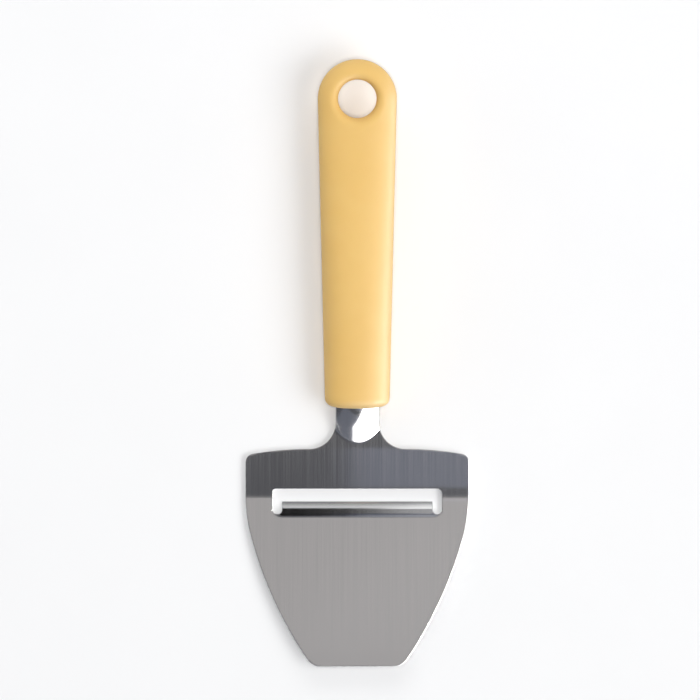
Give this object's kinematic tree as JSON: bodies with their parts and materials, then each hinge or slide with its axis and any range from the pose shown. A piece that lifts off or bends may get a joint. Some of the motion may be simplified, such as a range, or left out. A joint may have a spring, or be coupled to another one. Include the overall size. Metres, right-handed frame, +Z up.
{
  "type": "cheese plane",
  "caption": "Cheese plane with a spade-shaped brushed steel blade, a crosswise slot with a ground cutting lip, an arched neck and a tapered moulded handle with a hang eye.",
  "frame": {"origin": "on the table that the part lies on, under the middle of its length and width", "axes": "+Y along the tool from the blade's tip towards the hang eye, +X across the blade, +Z up from the table through the top of the blade"},
  "size_m": [0.0884, 0.2398, 0.0209],
  "materials": {
    "steel": "brushed lengthwise, with a ground facet on the cutting lip",
    "grip": "fine matte moulded surface, warm yellow",
    "core": "plain moulded, natural off-white"
  },
  "bodies": {
    "root": {"blade": "steel", "handle_grip": "grip", "core_lower_half": "core", "core_upper_half": "core"}
  },
  "joints": []
}
